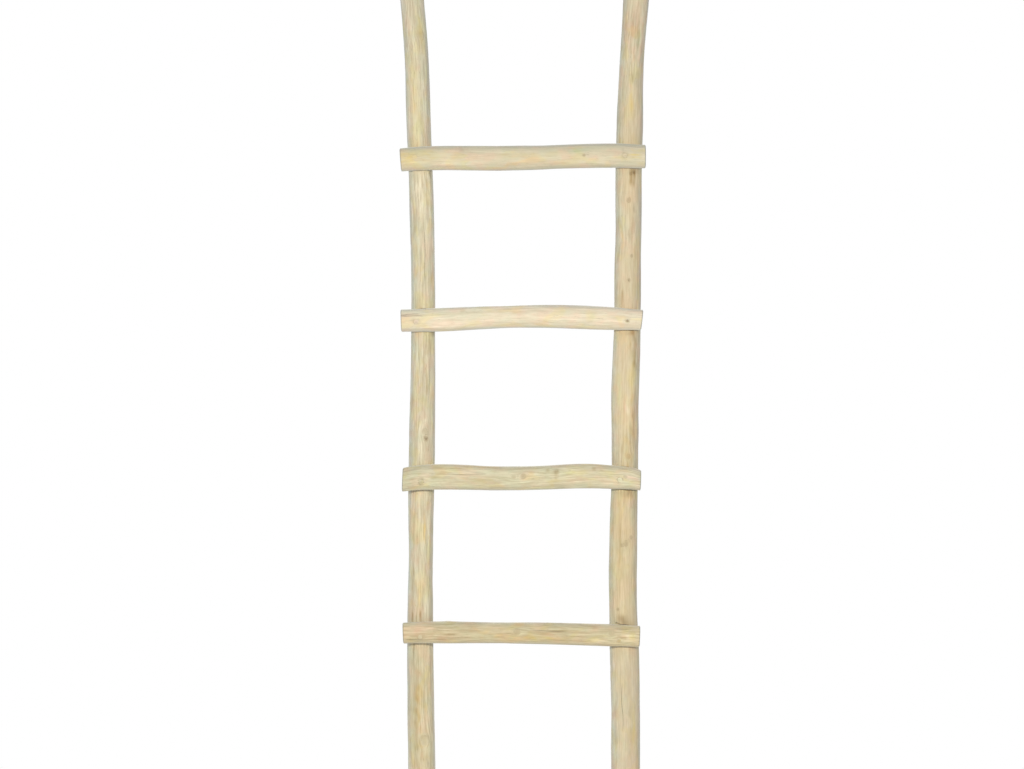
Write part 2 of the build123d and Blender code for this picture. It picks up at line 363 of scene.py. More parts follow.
            (-0.128, -0.118, 50, 4, "dark", 0.5),
            (-0.05, 0.022, 78, 6.5, "orange", 0.35),
            (0.045, 0.08, 78, 6, "orange", 0.35),
            (0.08, 0.13, 62, 5, "green", 0.65),
            (0.09, 0.18, 120, 6, "pale", 0.6),
            (0.13, 0.18, 60, 5, "green", 0.4),
            (0.196, 0.202, 62, 6, "dark", 0.4),
            (0.2, 0.232, 92, 6, "orange", 0.25),
            (0.214, 0.236, 84, 1.5, "yellow", 1),
            (0.214, 0.236, 98, 1.5, "yellow", 1),
        ],
        "knots": [
            (0.121, 88, 2.5, 0.3, 0.65),
            (0.02, 255, 9, 1.8, 0.6),
        ],
        "checks": [
            (0.2, 0.244, 40, 0.5, 0.4),
        ],
    },
}

# Each plug: how light it is beside its rung, how dark the joint round it, how dark its heart.
PLUGS = {
    "plug_1_left": (0.90, 0.30, 0.0),
    "plug_1_right": (0.94, 0.50, 0.3),
    "plug_2_left": (0.97, 0.60, 0.2),
    "plug_2_right": (1.05, 0.60, 0.0),
    "plug_3_left": (0.94, 0.35, 0.2),
    "plug_3_right": (0.88, 0.35, 1.0),
    "plug_4_left": (1.03, 0.15, 0.0),
    "plug_4_right": (0.97, 0.35, 0.0),
}

COLUMNS = 112  # points round each branch
POLE_ROW = 3.2 * MM
RUNG_ROW = 2.2 * MM
END_ROWS = [0.0, 0.3, 0.8, 1.5, 2.4, 3.6, 5.2]  # mm in from a sawn end
FINEST_ROW = 0.5 * MM
INSIDE_END = 4.5 * MM  # nearer to a sawn end its slant would spoil the measure of the width
SLANT_REACH = 45 * MM  # how far in from a slanting sawn end the rows slant with it
STEEP_STEP = 1.1 * MM  # rows are added where the surface steps more than this between two
CAP_RINGS = [0.975, 0.93, 0.86, 0.77, 0.67, 0.56, 0.45, 0.34, 0.23, 0.12]
PLUG_RADIUS = 5.0 * MM
FACETS = 10  # strokes of the peeling knife round a branch
KNOT_STRETCH = 1.25  # how much longer a knot is than it is wide
SAWN_STEP = 1.2 * MM  # a surface this far inside the round branch has been sawn
SAW_MARKS = 0.12 * MM
HEART_CRACK_DEPTH = 1.1 * MM
SHARP_EDGE = math.radians(50)
INNER_DEPTH = 0.018  # how far from the seats a branch is at its widest
END_ROUNDING = 2.0 * MM
PAINTED_END_OUTLINE = 2.6 * MM  # how far in from a sawn end its edge is painted darker, a dark outline of painted shade
FAR = 3.0  # beyond this many radii a mark has no say
OUT_OF_REACH = 6.0


class Branch:
    """A branch's surface, worked out row by row from its CAD solid."""

    def __init__(self, node, plugs):
        self.node = node
        self.spec = BRANCHES[node]
        self.plugs = plugs
        self.upright = node.endswith("pole")
        self.low, self.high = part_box(node)
        self.tree = cad_tree(node, *plugs)
        if self.upright:
            self.along, self.across = Vector((0, 0, 1)), Vector((1, 0, 0))
            self.start, self.end = self.low.z, self.high.z
            self.back_is_whole = True
        else:
            self.along, self.across = Vector((1, 0, 0)), Vector((0, 0, 1))
            self.start, self.end = self.low.x, self.high.x
            self.back_is_whole = False
        self.front = Vector((0, -1, 0))
        self.angles = 2 * math.pi * np.arange(COLUMNS) / COLUMNS
        self.start, self.start_slant = self.sawn_end(self.start, -1)
        self.end, self.end_slant = self.sawn_end(self.end, 1)

    def sawn_end(self, place, outward):
        """Where the middle of a sawn end stands, and how far it slants in a metre across."""
        middle, width = self.centre(place)
        reach = 0.1
        places = []
        for side in (-0.25, 0.25):
            origin = middle + self.across * (side * width) + self.along * (outward * reach)
            hit = self.tree.ray_cast(origin, -self.along * outward, 2 * reach)[0]
            places.append(hit.dot(self.along))
        return sum(places) / 2, (places[1] - places[0]) / (0.5 * width)

    def slant(self, place):
        """How far a row slants: as its sawn end does, and less and less further in."""
        from_start = min((place - self.start) / SLANT_REACH, 1.0)
        from_end = min((self.end - place) / SLANT_REACH, 1.0)
        return self.start_slant * (1 - from_start) ** 2 + self.end_slant * (1 - from_end) ** 2

    def centre(self, place):
        """The middle of the branch at a place along it, and its width there."""
        place = min(max(place, self.start + INSIDE_END), self.end - INSIDE_END)
        base = self.along * place
        reach = 1.0
        guess = (self.low + self.high) / 2
        middle = base + self.across * guess.dot(self.across) - self.front * self.inner_depth()
        high = self.tree.ray_cast(middle + self.across * reach, -self.across, 2 * reach)[0]
        low = self.tree.ray_cast(middle - self.across * reach, self.across, 2 * reach)[0]
        width = (high - low).dot(self.across)
        middle = base + self.across * (high + low).dot(self.across) / 2
        if self.back_is_whole:
            back = self.tree.ray_cast(middle - self.front * reach, self.front, 2 * reach)[0]
            depth = back.dot(self.front) + width / 2
        else:
            face = self.tree.ray_cast(middle + self.front * reach, -self.front, 2 * reach)[0]
            depth = face.dot(self.front) - width / 2
        return middle + self.front * depth, width

    def inner_depth(self):
        """A depth behind the seats, or before them on a rung, where the branch is widest."""
        return INNER_DEPTH if self.upright else -INNER_DEPTH

    def row(self, place):
        """The centre of one row, the width there, and the spoke to the surface at each angle."""
        centre, width = self.centre(place)
        inside = min(max(place, self.start + 0.02 * MM), self.end - 0.02 * MM)
        centre = centre + self.along * (inside - centre.dot(self.along))
        upward = self.across + self.along * self.slant(place)
        reach = 0.08
        radii, spokes = [], []
        for angle in self.angles:
            spoke = upward * math.cos(angle) + self.front * math.sin(angle)
            hit = self.tree.ray_cast(centre + spoke * reach, -spoke, reach * spoke.length)[0]
            radii.append(width / 2 if hit is None else (hit - centre).length / spoke.length)
            spokes.append(spoke)
        return centre, width, np.array(radii), np.array(spokes)

    def places(self):
        """Where the rows stand: evenly, closer at the sawn ends and where the surface steps."""
        spacing = POLE_ROW if self.upright else RUNG_ROW
        ends = [distance * MM for distance in END_ROWS]
        inner_start, inner_end = self.start + ends[-1], self.end - ends[-1]
        count = round((inner_end - inner_start) / spacing)
        even = [inner_start + (inner_end - inner_start) * step / count for step in range(1, count)]
        return [self.start + e for e in ends] + even + [self.end - e for e in reversed(ends)]

    def rows(self):
        """Every row, with more of them where a seat or a flat begins or ends."""
        made = [(place, *self.row(place)) for place in self.places()]
        index = 0
        while index < len(made) - 1:
            here, after = made[index], made[index + 1]
            gap = after[0] - here[0]
            if gap > 2 * FINEST_ROW and np.abs(here[3] - after[3]).max() > STEEP_STEP:
                middle = (here[0] + after[0]) / 2
                made.insert(index + 1, (middle, *self.row(middle)))
            else:
                index += 1
        return made


def cad_tree(*nodes):
    """A ray-casting tree of the surfaces of some CAD nodes together."""
    points, faces = [], []
    for name in nodes:
        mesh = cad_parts[name].data
        first = len(points)
        points += [vertex.co.copy() for vertex in mesh.vertices]
        faces += [[first + index for index in polygon.vertices] for polygon in mesh.polygons]
    return BVHTree.FromPolygons(points, faces)


# ---------------------------------------------------------------- relief
def noise_over(vectors):
    """Smooth noise, about -1 to 1, at each row of an array of points."""
    return np.array([noise.noise(vector) for vector in vectors.tolist()])


def round_noise(angles, places, round_scale, along_scale, seed):
    """Smooth noise over a branch's skin that joins up with itself all the way round."""
    points = np.stack(
        [
            np.cos(angles) * round_scale + seed * 3.7,
            np.sin(angles) * round_scale - seed * 1.3,
            places * along_scale,
        ],
        axis=-1,
    )
    return noise_over(points.reshape(-1, 3)).reshape(angles.shape)


def wander(places, along_scale, seed):
    """Smooth noise that changes only along a branch."""
    return np.array([[noise.noise((seed, 0.5, place * along_scale))] for place in places[:, 0]])


def facet_relief(angles, places, radii, seed, share):
    """Shallow flats left by the knife, whose edges wander along the branch."""
    pitch = 2 * math.pi / FACETS
    turned = angles + 0.8 * wander(places, 4.0, seed + 5)
    turned += 0.25 * round_noise(angles, places, 0.8, 9.0, seed + 6)
    from_middle = (turned % pitch) - pitch / 2
    sagging = math.cos(pitch / 2) / np.cos(from_middle)
    return share * radii * (sagging - (1 + math.cos(pitch / 2)) / 2)


def natural_relief(angles, places, seed):
    """Swellings, flutes and fine ripples of the grown wood, in metres."""
    lumps = 0.55 * MM * round_noise(angles, places, 0.7, 11.0, seed)
    flutes = 0.30 * MM * round_noise(angles, places, 2.6, 5.0, seed + 1)
    ripples = 0.16 * MM * round_noise(angles, places, 5.0, 26.0, seed + 2)
    strokes = 0.10 * MM * round_noise(angles, places, 9.0, 60.0, seed + 3)
    return lumps + flutes + ripples + strokes


def turn_between(angles, angle_deg):
    """The signed way round from an angle to each angle."""
    away = angles - math.radians(angle_deg)
    return (away + math.pi) % (2 * math.pi) - math.pi


def tones(spec, angles, places, widths):
    """How much redder, greener and bluer than its tint the wood is at each point, painted light and
    shade included.
    """
    shade_places, shades = zip(*spec["shades"])
    tone = np.interp(places, shade_places, shades)[..., None] * np.ones(3)
    patches = 1 + 0.9 * round_noise(angles, places, 4.0, 60.0, spec["seed"] + 9)
    for start, end, angle, half_width, colour, strength in spec["stains_and_painted_shading"]:
        bend = 0.6 * wander(places, 60.0, spec["seed"] + start)
        across = turn_between(angles, angle) * widths / 2 / (half_width * MM) + bend
        along = (2 * places - start - end) / (end - start)
        share = strength * patches * np.exp(-(across**2) - along**4)
        tone *= 1 + share[..., None] * (np.array(STAIN_AND_PAINTED_SHADING_COLOURS[colour]) - 1)
    return tone


class Marks:
    """The nearest of several round marks at each point, in units of that mark's own radius."""

    def __init__(self, shape):
        self.across = np.full(shape, FAR)
        self.along = np.full(shape, FAR)
        self.distance = np.full(shape, 99.0)
        self.tone = np.zeros(shape)

    def add(self, across, along, tone):
        distance = np.hypot(across, along)
        nearer = distance < self.distance
        self.distance[nearer] = distance[nearer]
        self.across[nearer] = np.clip(across[nearer], -FAR, FAR)
        self.along[nearer] = np.clip(along[nearer], -FAR, FAR)
        self.tone[nearer] = tone

    def vectors(self):
        """Across, along, and a third distance that grows where the mark is out of reach."""
        away = OUT_OF_REACH * np.clip((self.distance - 1.8) / (FAR - 1.8), 0, 1)
        return np.stack([self.across, self.along, away], axis=-1)


def skin(branch):
    """Everything that is known at each point of a branch's skin, as arrays of rows by columns."""
    rows = branch.rows()
    spec = branch.spec
    seed = spec["seed"]
    places = np.array([row[0] for row in rows])[:, None] + np.zeros(COLUMNS)
    widths = np.array([row[2] for row in rows])[:, None] + np.zeros(COLUMNS)
    radii = np.array([row[3] for row in rows])
    angles = branch.angles[None, :] + np.zeros((len(rows), 1))
    centres = np.array([row[1] for row in rows])
    spokes = np.array([row[4] for row in rows])

    sawn = np.clip((widths / 2 - radii - SAWN_STEP) / SAWN_STEP, 0, 1)
    relief = natural_relief(angles, places, seed)
    relief += facet_relief(angles, places, radii, seed, spec["facets"])
    turned = angles.copy()
    knots = Marks(angles.shape)
    for place, angle, radius, swelling, darkness in spec["knots"]:
        radius *= MM
        across = turn_between(angles, angle) * widths / 2
        along = places - place
        distance = np.hypot(across, along / KNOT_STRETCH) / radius
        relief += swelling * MM * 0.75 * np.exp(-((distance / 2.3) ** 2))
        relief += swelling * MM * 0.45 * np.exp(-(((distance - 0.95) / 0.35) ** 2))
        relief -= swelling * MM * 0.30 * np.exp(-((distance / 0.5) ** 2))
        parted = across * (1 - 1 / np.maximum(distance, 1.0) ** 2)
        turned += np.where(distance < 6, (parted - across) / (widths / 2), 0)
        knots.add(across / radius, along / (KNOT_STRETCH * radius), darkness)

    checks = Marks(angles.shape)
    for start, end, angle, width, depth in spec["checks"]:
        middle, half = (start + end) / 2, (end - start) / 2
        bend = 0.10 * wander(places, 22.0, seed + angle)
        across = (turn_between(angles, angle) + bend) * widths / 2 / (width * MM)
        along = (places - middle) / half
        taper = np.sqrt(np.clip(1 - along**2, 0, 1))
        relief -= depth * MM * taper * np.exp(-((across / 1.3) ** 2))
        reach = np.where(np.abs(along) > 1.2, FAR, across)
        checks.add(reach, along * 0.8, depth)

    from_end = np.minimum(places - branch.start, branch.end - places)
    sunk = np.clip(END_ROUNDING - from_end, 0, END_ROUNDING)
    relief -= END_ROUNDING - np.sqrt(END_ROUNDING**2 - sunk**2)
    relief *= 1 - 0.93 * sawn
    relief -= 0.1 * MM * sawn
    return {
        "places": places,
        "angles": angles,
        "turned": turned,
        "widths": widths,
        "radii": radii + relief,
        "centres": centres,
        "spokes": spokes,
        "sawn": sawn,
        "tone": tones(spec, angles, places, widths),
        "edge": np.clip(1 - from_end / PAINTED_END_OUTLINE, 0, 1),
        "knots": knots,
        "checks": checks,
    }


def plug_place(branch, plug):
    """The place and the angle of a plug on its rung, and how wide the rung is there."""
    low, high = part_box(plug)
    middle = (low + high) / 2
    centre, width = branch.centre(middle.x)
    return middle.x, math.degrees(math.acos((middle.z - centre.z) / (width / 2))), width


def plug_marks(branch, surface):
    """Where the plugs sit on a rung, in units of their radius."""
    marks = Marks(surface["angles"].shape)
    for plug in branch.plugs:
        place, angle, _ = plug_place(branch, plug)
        across = turn_between(surface["angles"], angle) * surface["widths"] / 2
        along = surface["places"] - place
        marks.add(across / PLUG_RADIUS, along / PLUG_RADIUS, PLUGS[plug][1])
    return marks


def plug_tint(branch, plug):
    """The colour of the rung round a plug, made a little darker or lighter."""
    place, angle, width = plug_place(branch, plug)
    tone = tones(branch.spec, np.array([[math.radians(angle)]]), np.array([[place]]), width)[0, 0]
    return tuple(np.array(shade(branch.spec["tint"], PLUGS[plug][0])) * tone)


# ---------------------------------------------------------------- meshes
def store(mesh, name, kind, values):
    attribute = mesh.attributes.new(name, kind, "POINT")
    field = "vector" if kind == "FLOAT_VECTOR" else "value"
    attribute.data.foreach_set(field, np.asarray(values, np.float32).ravel())


def smoothed(mesh):
    """The mesh, shaded smooth except across its sharp edges."""
    mesh.polygons.foreach_set("use_smooth", [True] * len(mesh.polygons))
    mesh.set_sharp_from_angle(angle=SHARP_EDGE)
    mesh.update()
    return mesh


def put_in_scene(name, data):
    made = bpy.data.objects.new(name, data)
    bpy.context.scene.collection.objects.link(made)
    return made


def end_cap(branch, surface, row, outward):
    """The points of one sawn end, ring by ring to the middle, and what is stored at each."""
    seed = branch.spec["seed"] + (3 if outward > 0 else 7)
    angles, radii, spokes = surface["angles"][row], surface["radii"][row], surface["spokes"][row]
    centre = Vector(surface["centres"][row])
    points, grain, rings = [], [], []
    for share in [*CAP_RINGS, 0.0]:
        count = COLUMNS if share else 1
        ring = []
        for column in range(count):
            radius = radii[column] * share
            angle = angles[column]
            spoke = abs(math.sin(1.5 * angle + seed)) ** 24
            spoke += 0.7 * abs(math.sin(2.5 * angle - seed)) ** 40
            crack = spoke * math.sin(math.pi * min(share * 1.15, 1.0)) * (0.2 < share < 0.96)
            saw = noise.noise((seed, radius * math.sin(angle) * 420, radius * math.cos(angle) * 30))
            inward = SAW_MARKS * (1 + saw) + HEART_CRACK_DEPTH * crack
            ring.append(len(points))
            point = centre + Vector(spokes[column]) * radius - branch.along * (outward * inward)
            points.append(point)
            across = (radius * math.cos(angle), radius * math.sin(angle))
            grain.append((*across, point.dot(branch.along)))
        rings.append(ring)
    return points, grain, rings


def branch_mesh(branch):
    """The mesh of one branch: its skin, and a sawn end at each end."""
    surface = skin(branch)
    count_rows, columns = surface["radii"].shape
    skin_points = surface["centres"][:, None, :] + surface["spokes"] * surface["radii"][:, :, None]
    points = [tuple(p) for p in skin_points.reshape(-1, 3).tolist()]
    grain = np.stack(
        [
            surface["widths"].mean() / 2 * np.cos(surface["turned"]),
            surface["widths"].mean() / 2 * np.sin(surface["turned"]),
            surface["places"],
        ],
        axis=-1,
    ).reshape(-1, 3)
    faces = []
    for row in range(count_rows - 1):
        for column in range(columns):
            after = (column + 1) % columns
            low, high = row * columns, (row + 1) * columns
            faces.append((low + column, low + after, high + after, high + column))

    caps, cap_grain = [], []
    for row, outward in ((0, -1), (count_rows - 1, 1)):
        first = len(points) + len(caps)
        cap_points, more_grain, rings = end_cap(branch, surface, row, outward)
        caps += cap_points
        cap_grain += more_grain
        ring = [row * columns + column for column in range(columns)]
        for inner in rings:
            inner = [first + index for index in inner]
            for column in range(columns):
                after = (column + 1) % columns
                if len(inner) == 1:
                    face = (ring[column], ring[after], inner[0])
                else:
                    face = (ring[column], ring[after], inner[after], inner[column])
                faces.append(face if outward > 0 else tuple(reversed(face)))
            ring = inner
    points += [tuple(p) for p in caps]

    mesh = bpy.data.meshes.new(branch.node + "_wood")
    mesh.from_pydata(points, [], faces)
    if branch.upright:
        mesh.flip_normals()
    extra = len(caps)
    far = np.tile([FAR, FAR, OUT_OF_REACH], (extra, 1))
    end = np.zeros(len(points))
    end[-extra:] = 1
    plugs = plug_marks(branch, surface)
    vectors = {
        "grain": (grain, cap_grain),
        "knot": (surface["knots"].vectors(), far),
        "check": (surface["checks"].vectors(), far),
        "plug": (plugs.vectors(), far),
        "tone": (surface["tone"], np.ones((extra, 3))),
    }
    for name, (on_skin, on_caps) in vectors.items():
        store(mesh, name, "FLOAT_VECTOR", np.vstack([on_skin.reshape(-1, 3), on_caps]))
    values = {
        "knot_tone": surface["knots"].tone,
        "plug_tone": plugs.tone,
        "sawn": surface["sawn"],
        "edge": surface["edge"],
    }
    for name, on_skin in values.items():
        store(mesh, name, "FLOAT", np.append(on_skin.ravel(), np.zeros(extra)))
    store(mesh, "end", "FLOAT", end)
    return smoothed(mesh)


def add_piece(name, mesh, material, slot, *nodes):
    """Puts a mesh in the scene as a piece that stands for some CAD nodes."""
    mesh.materials.append(material)
    piece = put_in_scene(name, mesh)
    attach(piece, "root")
    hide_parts(*nodes)
    return piece


# ---------------------------------------------------------------- materials
def rgba(colour):
    """A colour as a shader wants it, or the socket it comes from."""
    return colour if isinstance(colour, bpy.types.NodeSocket) else (*colour, 1.0)


class Graph:
    """Short ways to add shader nodes to one material."""

    def __init__(self, name):
        self.material = bpy.data.materials.new(name)
        self.material.use_nodes = True
        self.tree = self.material.node_tree
        self.tree.nodes.clear()

    def node(self, kind, inputs=None, **settings):
        made = self.tree.nodes.new(kind)
        for key, value in settings.items():
            setattr(made, key, value)
        for key, value in (inputs or {}).items():
            if isinstance(value, bpy.types.NodeSocket):
                self.tree.links.new(value, made.inputs[key])
            else:
                made.inputs[key].default_value = value
        return made

    def attribute(self, name, output="Fac"):
        return self.node("ShaderNodeAttribute", attribute_name=name).outputs[output]

    def math(self, operation, first, second=0.0, third=0.0, clamp=False):
        inputs = {0: first, 1: second, 2: third}
        return self.node("ShaderNodeMath", inputs, operation=operation, use_clamp=clamp).outputs[0]

    def times(self, first, second):
        return self.math("MULTIPLY", first, second)

    def plus(self, value, factor, base):
        """The base and a factor of the value."""
        return self.math("MULTIPLY_ADD", value, factor, base)

    def apart(self, vector):
        return self.node("ShaderNodeSeparateXYZ", {0: vector}).outputs

    def vector(self, operation, first, second=(0, 0, 0), third=(0, 0, 0)):
        inputs = {0: first, 1: second, 2: third}
        return self.node("ShaderNodeVectorMath", inputs, operation=operation).outputs[0]

    def length(self, vector):
        return self.node("ShaderNodeVectorMath", {0: vector}, operation="LENGTH").outputs["Value"]

    def stretched(self, vector, scale, shift=(0, 0, 0)):
        inputs = {"Vector": vector, "Scale": scale, "Location": shift}
        return self.node("ShaderNodeMapping", inputs).outputs[0]

    def noise(self, vector, detail=3.0, roughness=0.55, distortion=0.0, output="Fac"):
        inputs = {"Vector": vector, "Scale": 1.0, "Detail": detail, "Roughness": roughness}
        inputs["Distortion"] = distortion
        return self.node("ShaderNodeTexNoise", inputs).outputs[output]

    def spread(self, value, low, high, to_low=0.0, to_high=1.0):
        """The value, stretched smoothly so that low to high becomes to_low to to_high."""
        inputs = {"Value": value, "From Min": low, "From Max": high}
        inputs |= {"To Min": to_low, "To Max": to_high}
        return self.node("ShaderNodeMapRange", inputs, interpolation_type="SMOOTHSTEP").outputs[0]

    def mix(self, share, first, second, blend="MIX"):
        inputs = {0: share, 6: rgba(first), 7: rgba(second)}
        return self.node("ShaderNodeMix", inputs, data_type="RGBA", blend_type=blend).outputs[2]

    def bump(self, height, strength, distance):
        inputs = {"Strength": strength, "Distance": distance, "Height": height}
        return self.node("ShaderNodeBump", inputs).outputs[0]

    def finish(self, **shader):
        inputs = {name.replace("_", " "): value for name, value in shader.items()}
        principled = self.node("ShaderNodeBsdfPrincipled", inputs)
        self.node("ShaderNodeOutputMaterial", {"Surface": principled.outputs[0]})
        return self.material


def shade(colour, factor, warmer=0.0):
    """A colour made darker or lighter by a factor, and a little redder or bluer."""
    red, green, blue = colour
    return (red * factor * (1 + warmer), green * factor, blue * factor * (1 - warmer))


class WoodGraph(Graph):
    """A wood material in the making: each step lays one more thing over the colour so far."""

    def __init__(self, name, tint, seed):
        super().__init__(name)
        self.place = self.attribute("grain", "Vector")
        self.shift = (seed * 0.37, seed * 0.91, seed * 0.53)
        self.tint = tint
        self.colour = tint
        self.height = 0.0

    def field(self, across, along, **settings):
        """Noise with so many waves in a metre across and along the grain."""
        place = self.stretched(self.place, (across, across, along), self.shift)
        return self.noise(place, **settings)

    def stain(self, share, factor, warmer=0.0):
        """Lays a darker or lighter shade of the wood over part of it."""
        self.colour = self.mix(share, self.colour, shade(self.tint, factor, warmer))

    def tinge(self, share, filter_colour):
        """Passes part of the colour through a filter."""
        self.colour = self.mix(share, self.colour, filter_colour, blend="MULTIPLY")

    def raise_by(self, value, amount):
        self.height = self.plus(value, amount, self.height)

    def dusty(self, colour, rough):
        """The finished material, matte, with everything raised so far as its bump."""
        bump = self.bump(self.height, BUMP_STRENGTH, BUMP_DEPTH)
        return self.finish(Base_Color=colour, Roughness=rough, Normal=bump, **DUSTY)

    def distance(self, name, raggedness):
        """How far the nearest mark is, in its own radii, with uneven outlines."""
        push = (raggedness, raggedness, 0)
        uneven = self.field(170, 120, detail=2.0, output="Color")
        pushed = self.vector("SUBTRACT", uneven, (0.5, 0.5, 0.5))
        mark = self.attribute(name, "Vector")
        return self.length(self.vector("MULTIPLY_ADD", pushed, push, mark))


YEAR_RING = 2.3 * MM
BUMP_STRENGTH = 0.55
BUMP_DEPTH = 0.45 * MM
DUSTY = {"Specular_IOR_Level": 0.28, "Sheen_Weight": 0.40, "Sheen_Roughness": 0.40}
PINK = (1.05, 0.95, 0.95)
STRAW = (1.02, 0.99, 0.84)
GREEN = (0.95, 1.00, 0.99)


def lay_grain(wood, spec):
    """Streaks, bands and patches that run along a peeled branch, its fibres and pores."""
    strength = spec["streaks"]
    bands = wood.field(100, 4.5, detail=3.0, distortion=0.3)
    streaks = wood.field(250, 11, detail=3.0, roughness=0.6)
    dashes = wood.field(420, 32, detail=2.0, roughness=0.6)
    wood.stain(wood.spread(bands, 0.50, 0.70, 0.0, 0.55 * strength), 0.84, 0.05)
    wood.stain(wood.spread(bands, 0.50, 0.32, 0.0, 0.50 * strength), 1.12, -0.02)
    wood.stain(wood.spread(streaks, 0.50, 0.32, 0.0, 0.60 * strength), 1.20, -0.03)
    wood.stain(wood.spread(streaks, 0.50, 0.68, 0.0, 0.60 * strength), 0.78, 0.05)
    wood.stain(wood.spread(dashes, 0.52, 0.34, 0.0, 0.45 * strength), 1.22, -0.02)
    wood.stain(wood.spread(dashes, 0.52, 0.70, 0.0, 0.50 * strength), 0.74, 0.07)

    clouds = wood.field(32, 8, detail=3.0, distortion=0.4)
    wood.stain(wood.spread(clouds, 0.52, 0.72, 0.0, 0.40), 1.15, -0.02)
    wood.stain(wood.spread(clouds, 0.48, 0.28, 0.0, 0.40), 0.84, 0.02)
    hues = wood.field(44, 26, detail=2.0)
    others = wood.field(36, 19, detail=2.0, distortion=0.5)
    wood.tinge(wood.spread(hues, 0.50, 0.64, 0.0, 0.6 + 0.8 * spec["pink"]), PINK)
    wood.tinge(wood.spread(hues, 0.48, 0.36), GREEN)
    wood.tinge(wood.spread(others, 0.50, 0.64), STRAW)

    fibres = wood.field(950, 24, detail=3.0, roughness=0.65)
    threads = wood.field(2400, 70, detail=2.0)
    pores = wood.spread(wood.field(1500, 110, detail=1.0), 0.33, 0.24)
    wood.stain(wood.spread(fibres, 0.60, 0.34, 0.0, 0.38), 0.66, 0.06)
    wood.stain(wood.times(pores, 0.6), 0.42, 0.10)
    wood.raise_by(fibres, 0.45)
    wood.raise_by(threads, 0.20)
    wood.raise_by(streaks, -0.40)
    wood.raise_by(dashes, -0.45)
    wood.raise_by(pores, -0.45)
    return wood.spread(fibres, 0.3, 0.7, 0.88, 0.70)


def lay_year_rings(wood):
    """The year rings: faint on the skin and plain to see on the sawn ends, which are darker."""
    out = wood.length(wood.stretched(wood.place, (1, 1, 0)))
    out = wood.plus(wood.field(60, 6, detail=2.0), 0.006, out)
    late = wood.spread(wood.math("SINE", wood.times(out, 2 * math.pi / YEAR_RING)), 0.1, 1.0)
    wood.stain(wood.times(late, 0.12), 0.66, 0.10)
    end = wood.attribute("end")
    wood.stain(end, 0.88, 0.04)
    wood.stain(wood.times(end, wood.times(late, 0.6)), 0.60, 0.10)
    wood.stain(wood.times(end, wood.spread(out, 0.010, 0.002, 0.0, 0.5)), 0.50, 0.14)
    pits = wood.spread(wood.field(700, 10), 0.60, 0.35, 0.0, 0.4)
    wood.stain(wood.times(end, pits), 0.55, 0.08)
    wood.stain(wood.times(wood.attribute("sawn"), 0.45), 1.05, 0.06)
    wood.raise_by(wood.times(late, end), 0.25)


def lay_knots(wood):
    """Knots: a tan patch, a broken ring at its edge, and a dark core in the strongest of them."""
    away = wood.distance("knot", 1.1)
    tone = wood.attribute("knot_tone")
    broken = wood.spread(wood.field(150, 110, detail=1.0), 0.40, 0.56)
    from_edge = wood.math("ABSOLUTE", wood.math("SUBTRACT", away, 1.0))
    ring = wood.times(broken, wood.spread(from_edge, 0.40, 0.08))
    wood.stain(wood.times(tone, wood.spread(away, 2.4, 0.7, 0.0, 0.50)), 0.80, 0.06)
    wood.stain(wood.times(tone, wood.spread(away, 1.2, 0.7, 0.0, 0.60)), 0.66, 0.10)
    wood.stain(wood.times(tone, wood.times(ring, 0.65)), 0.42, 0.14)
    wood.stain(wood.times(wood.math("POWER", tone, 2.0), wood.spread(away, 0.80, 0.30)), 0.33, 0.16)
    wood.raise_by(wood.times(ring, tone), -0.6)


def lay_checks(wood):
    """Drying checks: dark ragged cracks that taper to nothing."""
    check = wood.apart(wood.attribute("check", "Vector"))
    ragged = wood.math("SUBTRACT", wood.field(500, 60, detail=2.0), 0.5)
    side = wood.math("ABSOLUTE", wood.plus(ragged, 0.9, check[0]))
    along = wood.times(check[1], 1.25)
    taper = wood.math("SUBTRACT", 1.0, wood.times(along, along), clamp=True)
    crack = wood.spread(wood.math("SUBTRACT", wood.math("SQRT", taper), side), 0.30, 0.62)
    crack = wood.times(crack, wood.math("SUBTRACT", 1.0, check[2], clamp=True))
    wood.stain(wood.times(crack, 0.9), 0.16, 0.22)
    wood.raise_by(crack, -2.2)


def lay_plug_joints(wood):
    """The thin joint round each plug, closed in places, and blotches beside it."""
    away = wood.distance("plug", 0.5)
    tone = wood.attribute("plug_tone")
    from_rim = wood.math("ABSOLUTE", wood.math("SUBTRACT", away, 1.05))
    open_part = wood.spread(wood.field(230, 160, detail=1.0), 0.44, 0.60)
    gap = wood.times(wood.times(tone, open_part), wood.spread(from_rim, 0.24, 0.06))
    blotch = wood.times(tone, wood.spread(wood.field(170, 80, detail=2.0), 0.44, 0.58))
    wood.stain(wood.times(blotch, wood.spread(away, 2.6, 1.1)), 0.70, 0.06)
    wood.stain(gap, 0.38, 0.10)
    wood.raise_by(gap, -0.9)


def branch_wood(name, spec):
    """Dry peeled branch wood, matte."""
    wood = WoodGraph(name, spec["tint"], spec["seed"])
    rough = lay_grain(wood, spec)
    lay_year_rings(wood)
    lay_knots(wood)
    lay_checks(wood)
    lay_plug_joints(wood)
    # Painted shade: each sawn end gets a dark, bluish outline.
    wood.stain(wood.times(wood.attribute("edge"), 0.75), 0.50, -0.10)
    colour = wood.vector("MULTIPLY", wood.colour, wood.attribute("tone", "Vector"))
    return wood.dusty(colour, rough)


def plug_wood(name, spec, tint, heart, seed):
    """A plug of the same wood with its grain along the rung, and a rim darkened by glue."""
    wood = WoodGraph(name, tint, seed)
    rough = lay_grain(wood, spec)
    out = wood.plus(wood.field(260, 200, detail=1.0), 0.5, wood.attribute("rim"))
    wood.stain(wood.spread(out, 0.95, 0.55, 0.0, heart), 0.46, 0.12)
    wood.stain(wood.spread(out, 0.95, 1.30, 0.0, 0.30), 0.62, 0.06)
    return wood.dusty(wood.colour, rough)


